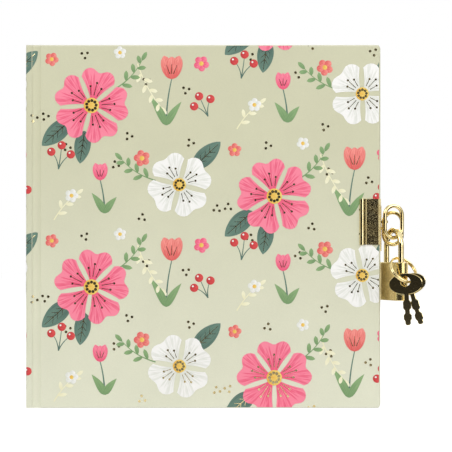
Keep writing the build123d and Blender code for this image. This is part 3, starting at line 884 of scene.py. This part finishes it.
# %% Floor, room and light
WORLD_LIGHT = 0.55
KEY_POWER = 7.1
FILL_POWER = 4.5
BACK_POWER = 9.0
STRIP_GLOW = 1.7
FLOOR_SIZE = 6.0
FLOOR_GLOW, FLOOR_LIGHT = 0.72, 0.3
FLOOR_GREY = (0.5, 0.5, 0.5, 1.0)
BLACK, WHITE = (0.012, 0.011, 0.010, 1.0), (1.0, 1.0, 1.0, 1.0)
LEFT, RIGHT, NEAR, FAR, TOP, FOOT = -2.0, 0.4, -0.15, camera.location.y - 0.25, 1.2, 0.001
SIDE, AISLE, FOOT_START, FOOT_END = 2.0, 0.4, 0.15, 1.9
STRIP_START, STRIP_END = RIGHT + 0.02, 1.4
LAMP_AIM = (0.0, 0.0, 0.08)


def white_to_the_eye(tree, plain):
    """1 for camera, glossy and transmission rays, plain for the rays that light the object."""
    path = put(tree, "ShaderNodeLightPath").outputs
    seen = sums(tree, "MAXIMUM", path["Is Camera Ray"], path["Is Glossy Ray"])
    seen = sums(tree, "MAXIMUM", seen, path["Is Transmission Ray"])
    return ramp(tree, seen, 0.0, 1.0, plain, 1.0)


def make_world():
    """White all round: 1 to the eye, plainer as light."""
    world = bpy.data.worlds.new("white_room")
    world.use_nodes = True
    tree = world.node_tree
    background = tree.nodes["Background"]
    background.inputs["Color"].default_value = WHITE
    tree.links.new(white_to_the_eye(tree, WORLD_LIGHT), background.inputs["Strength"])
    bpy.context.scene.world = world


def flat_sheet(name, corners, faces):
    """A sheet of flat faces for the room."""
    mesh = bpy.data.meshes.new(name)
    mesh.from_pydata(corners, [], faces)
    sheet = bpy.data.objects.new(name, mesh)
    bpy.context.scene.collection.objects.link(sheet)
    return sheet


def upright(*plan):
    """Corners and faces of a wall of equal height over a line of plan points."""
    corners = [(x, y, z) for x, y in plan for z in (FOOT, TOP)]
    return corners, [(2 * i, 2 * i + 2, 2 * i + 3, 2 * i + 1) for i in range(len(plan) - 1)]


def lying(left, right, near, far, height=FOOT):
    """Corners and faces of a sheet that lies level."""
    plan = ((left, near), (right, near), (right, far), (left, far))
    return [(x, y, height) for x, y in plan], [(0, 1, 2, 3)]


def make_floor():
    """White floor: a glow that the camera sees as white, and a matt share that keeps the shadow."""
    half = FLOOR_SIZE / 2
    floor = flat_sheet("floor", *lying(-half, half, -half, half, 0))
    material = bpy.data.materials.new("white_floor")
    material.use_nodes = True
    tree = material.node_tree
    tree.nodes.clear()
    matt = put(tree, "ShaderNodeBsdfDiffuse", None, Color=FLOOR_GREY)
    glow = put(tree, "ShaderNodeEmission", None, Color=WHITE)
    seen = white_to_the_eye(tree, FLOOR_LIGHT)
    tree.links.new(sums(tree, "MULTIPLY", seen, FLOOR_GLOW), glow.inputs["Strength"])
    both = put(tree, "ShaderNodeAddShader", None, i0=matt.outputs[0], i1=glow.outputs[0])
    output = put(tree, "ShaderNodeOutputMaterial")
    tree.links.new(both.outputs[0], output.inputs["Surface"])
    floor.data.materials.append(material)


def make_card(name, corners, faces, colour, glow=0.0):
    """A card that only reflections see: black cloth, or a glowing strip."""
    card = flat_sheet(name, corners, faces)
    material = bpy.data.materials.new(name)
    material.use_nodes = True
    shader = material.node_tree.nodes["Principled BSDF"]
    shader.inputs["Base Color"].default_value = colour
    shader.inputs["Roughness"].default_value = 1.0
    shader.inputs["Emission Color"].default_value = colour
    shader.inputs["Emission Strength"].default_value = glow
    card.data.materials.append(material)
    card.visible_camera = False
    card.visible_diffuse = False
    card.visible_shadow = False


def soft_lamp(name, location, size, power):
    """A square area lamp that points at the middle of the book."""
    lamp = bpy.data.lights.new(name, "AREA")
    lamp.shape = "SQUARE"
    lamp.size = size
    lamp.energy = power
    holder = bpy.data.objects.new(name, lamp)
    holder.location = location
    aim = Vector(LAMP_AIM) - Vector(location)
    holder.rotation_euler = aim.to_track_quat("-Z", "Y").to_euler()
    bpy.context.scene.collection.objects.link(holder)


make_world()
make_floor()
make_card("black_card", *upright((LEFT, -0.6), (LEFT, FAR), (RIGHT, FAR)), BLACK)
make_card("black_foot", *lying(LEFT, RIGHT, FAR, NEAR), BLACK)
make_card("black_right", *upright((SIDE, -1.0), (SIDE, AISLE)), BLACK)
make_card("black_right_foot", *lying(FOOT_START, FOOT_END, -AISLE, AISLE), BLACK)
make_card("black_back", *upright((-AISLE, SIDE), (AISLE, SIDE)), BLACK)
make_card("black_back_foot", *lying(-AISLE, AISLE, FOOT_START, FOOT_END), BLACK)
make_card("black_left", *upright((-SIDE, -AISLE / 2), (-SIDE, AISLE)), BLACK)
make_card("black_left_foot", *lying(-FOOT_END, -FOOT_START, -AISLE / 2, AISLE), BLACK)
make_card("white_strip", *upright((STRIP_START, FAR), (STRIP_END, FAR)), WHITE, STRIP_GLOW)
soft_lamp("key_lamp", (-0.75, -0.95, 0.85), 0.7, KEY_POWER)
soft_lamp("fill_lamp", (0.95, -0.75, 0.65), 0.7, FILL_POWER)
soft_lamp("back_lamp", (0.2, 1.25, 0.9), 0.8, BACK_POWER)
bpy.context.scene.view_settings.view_transform = "Standard"
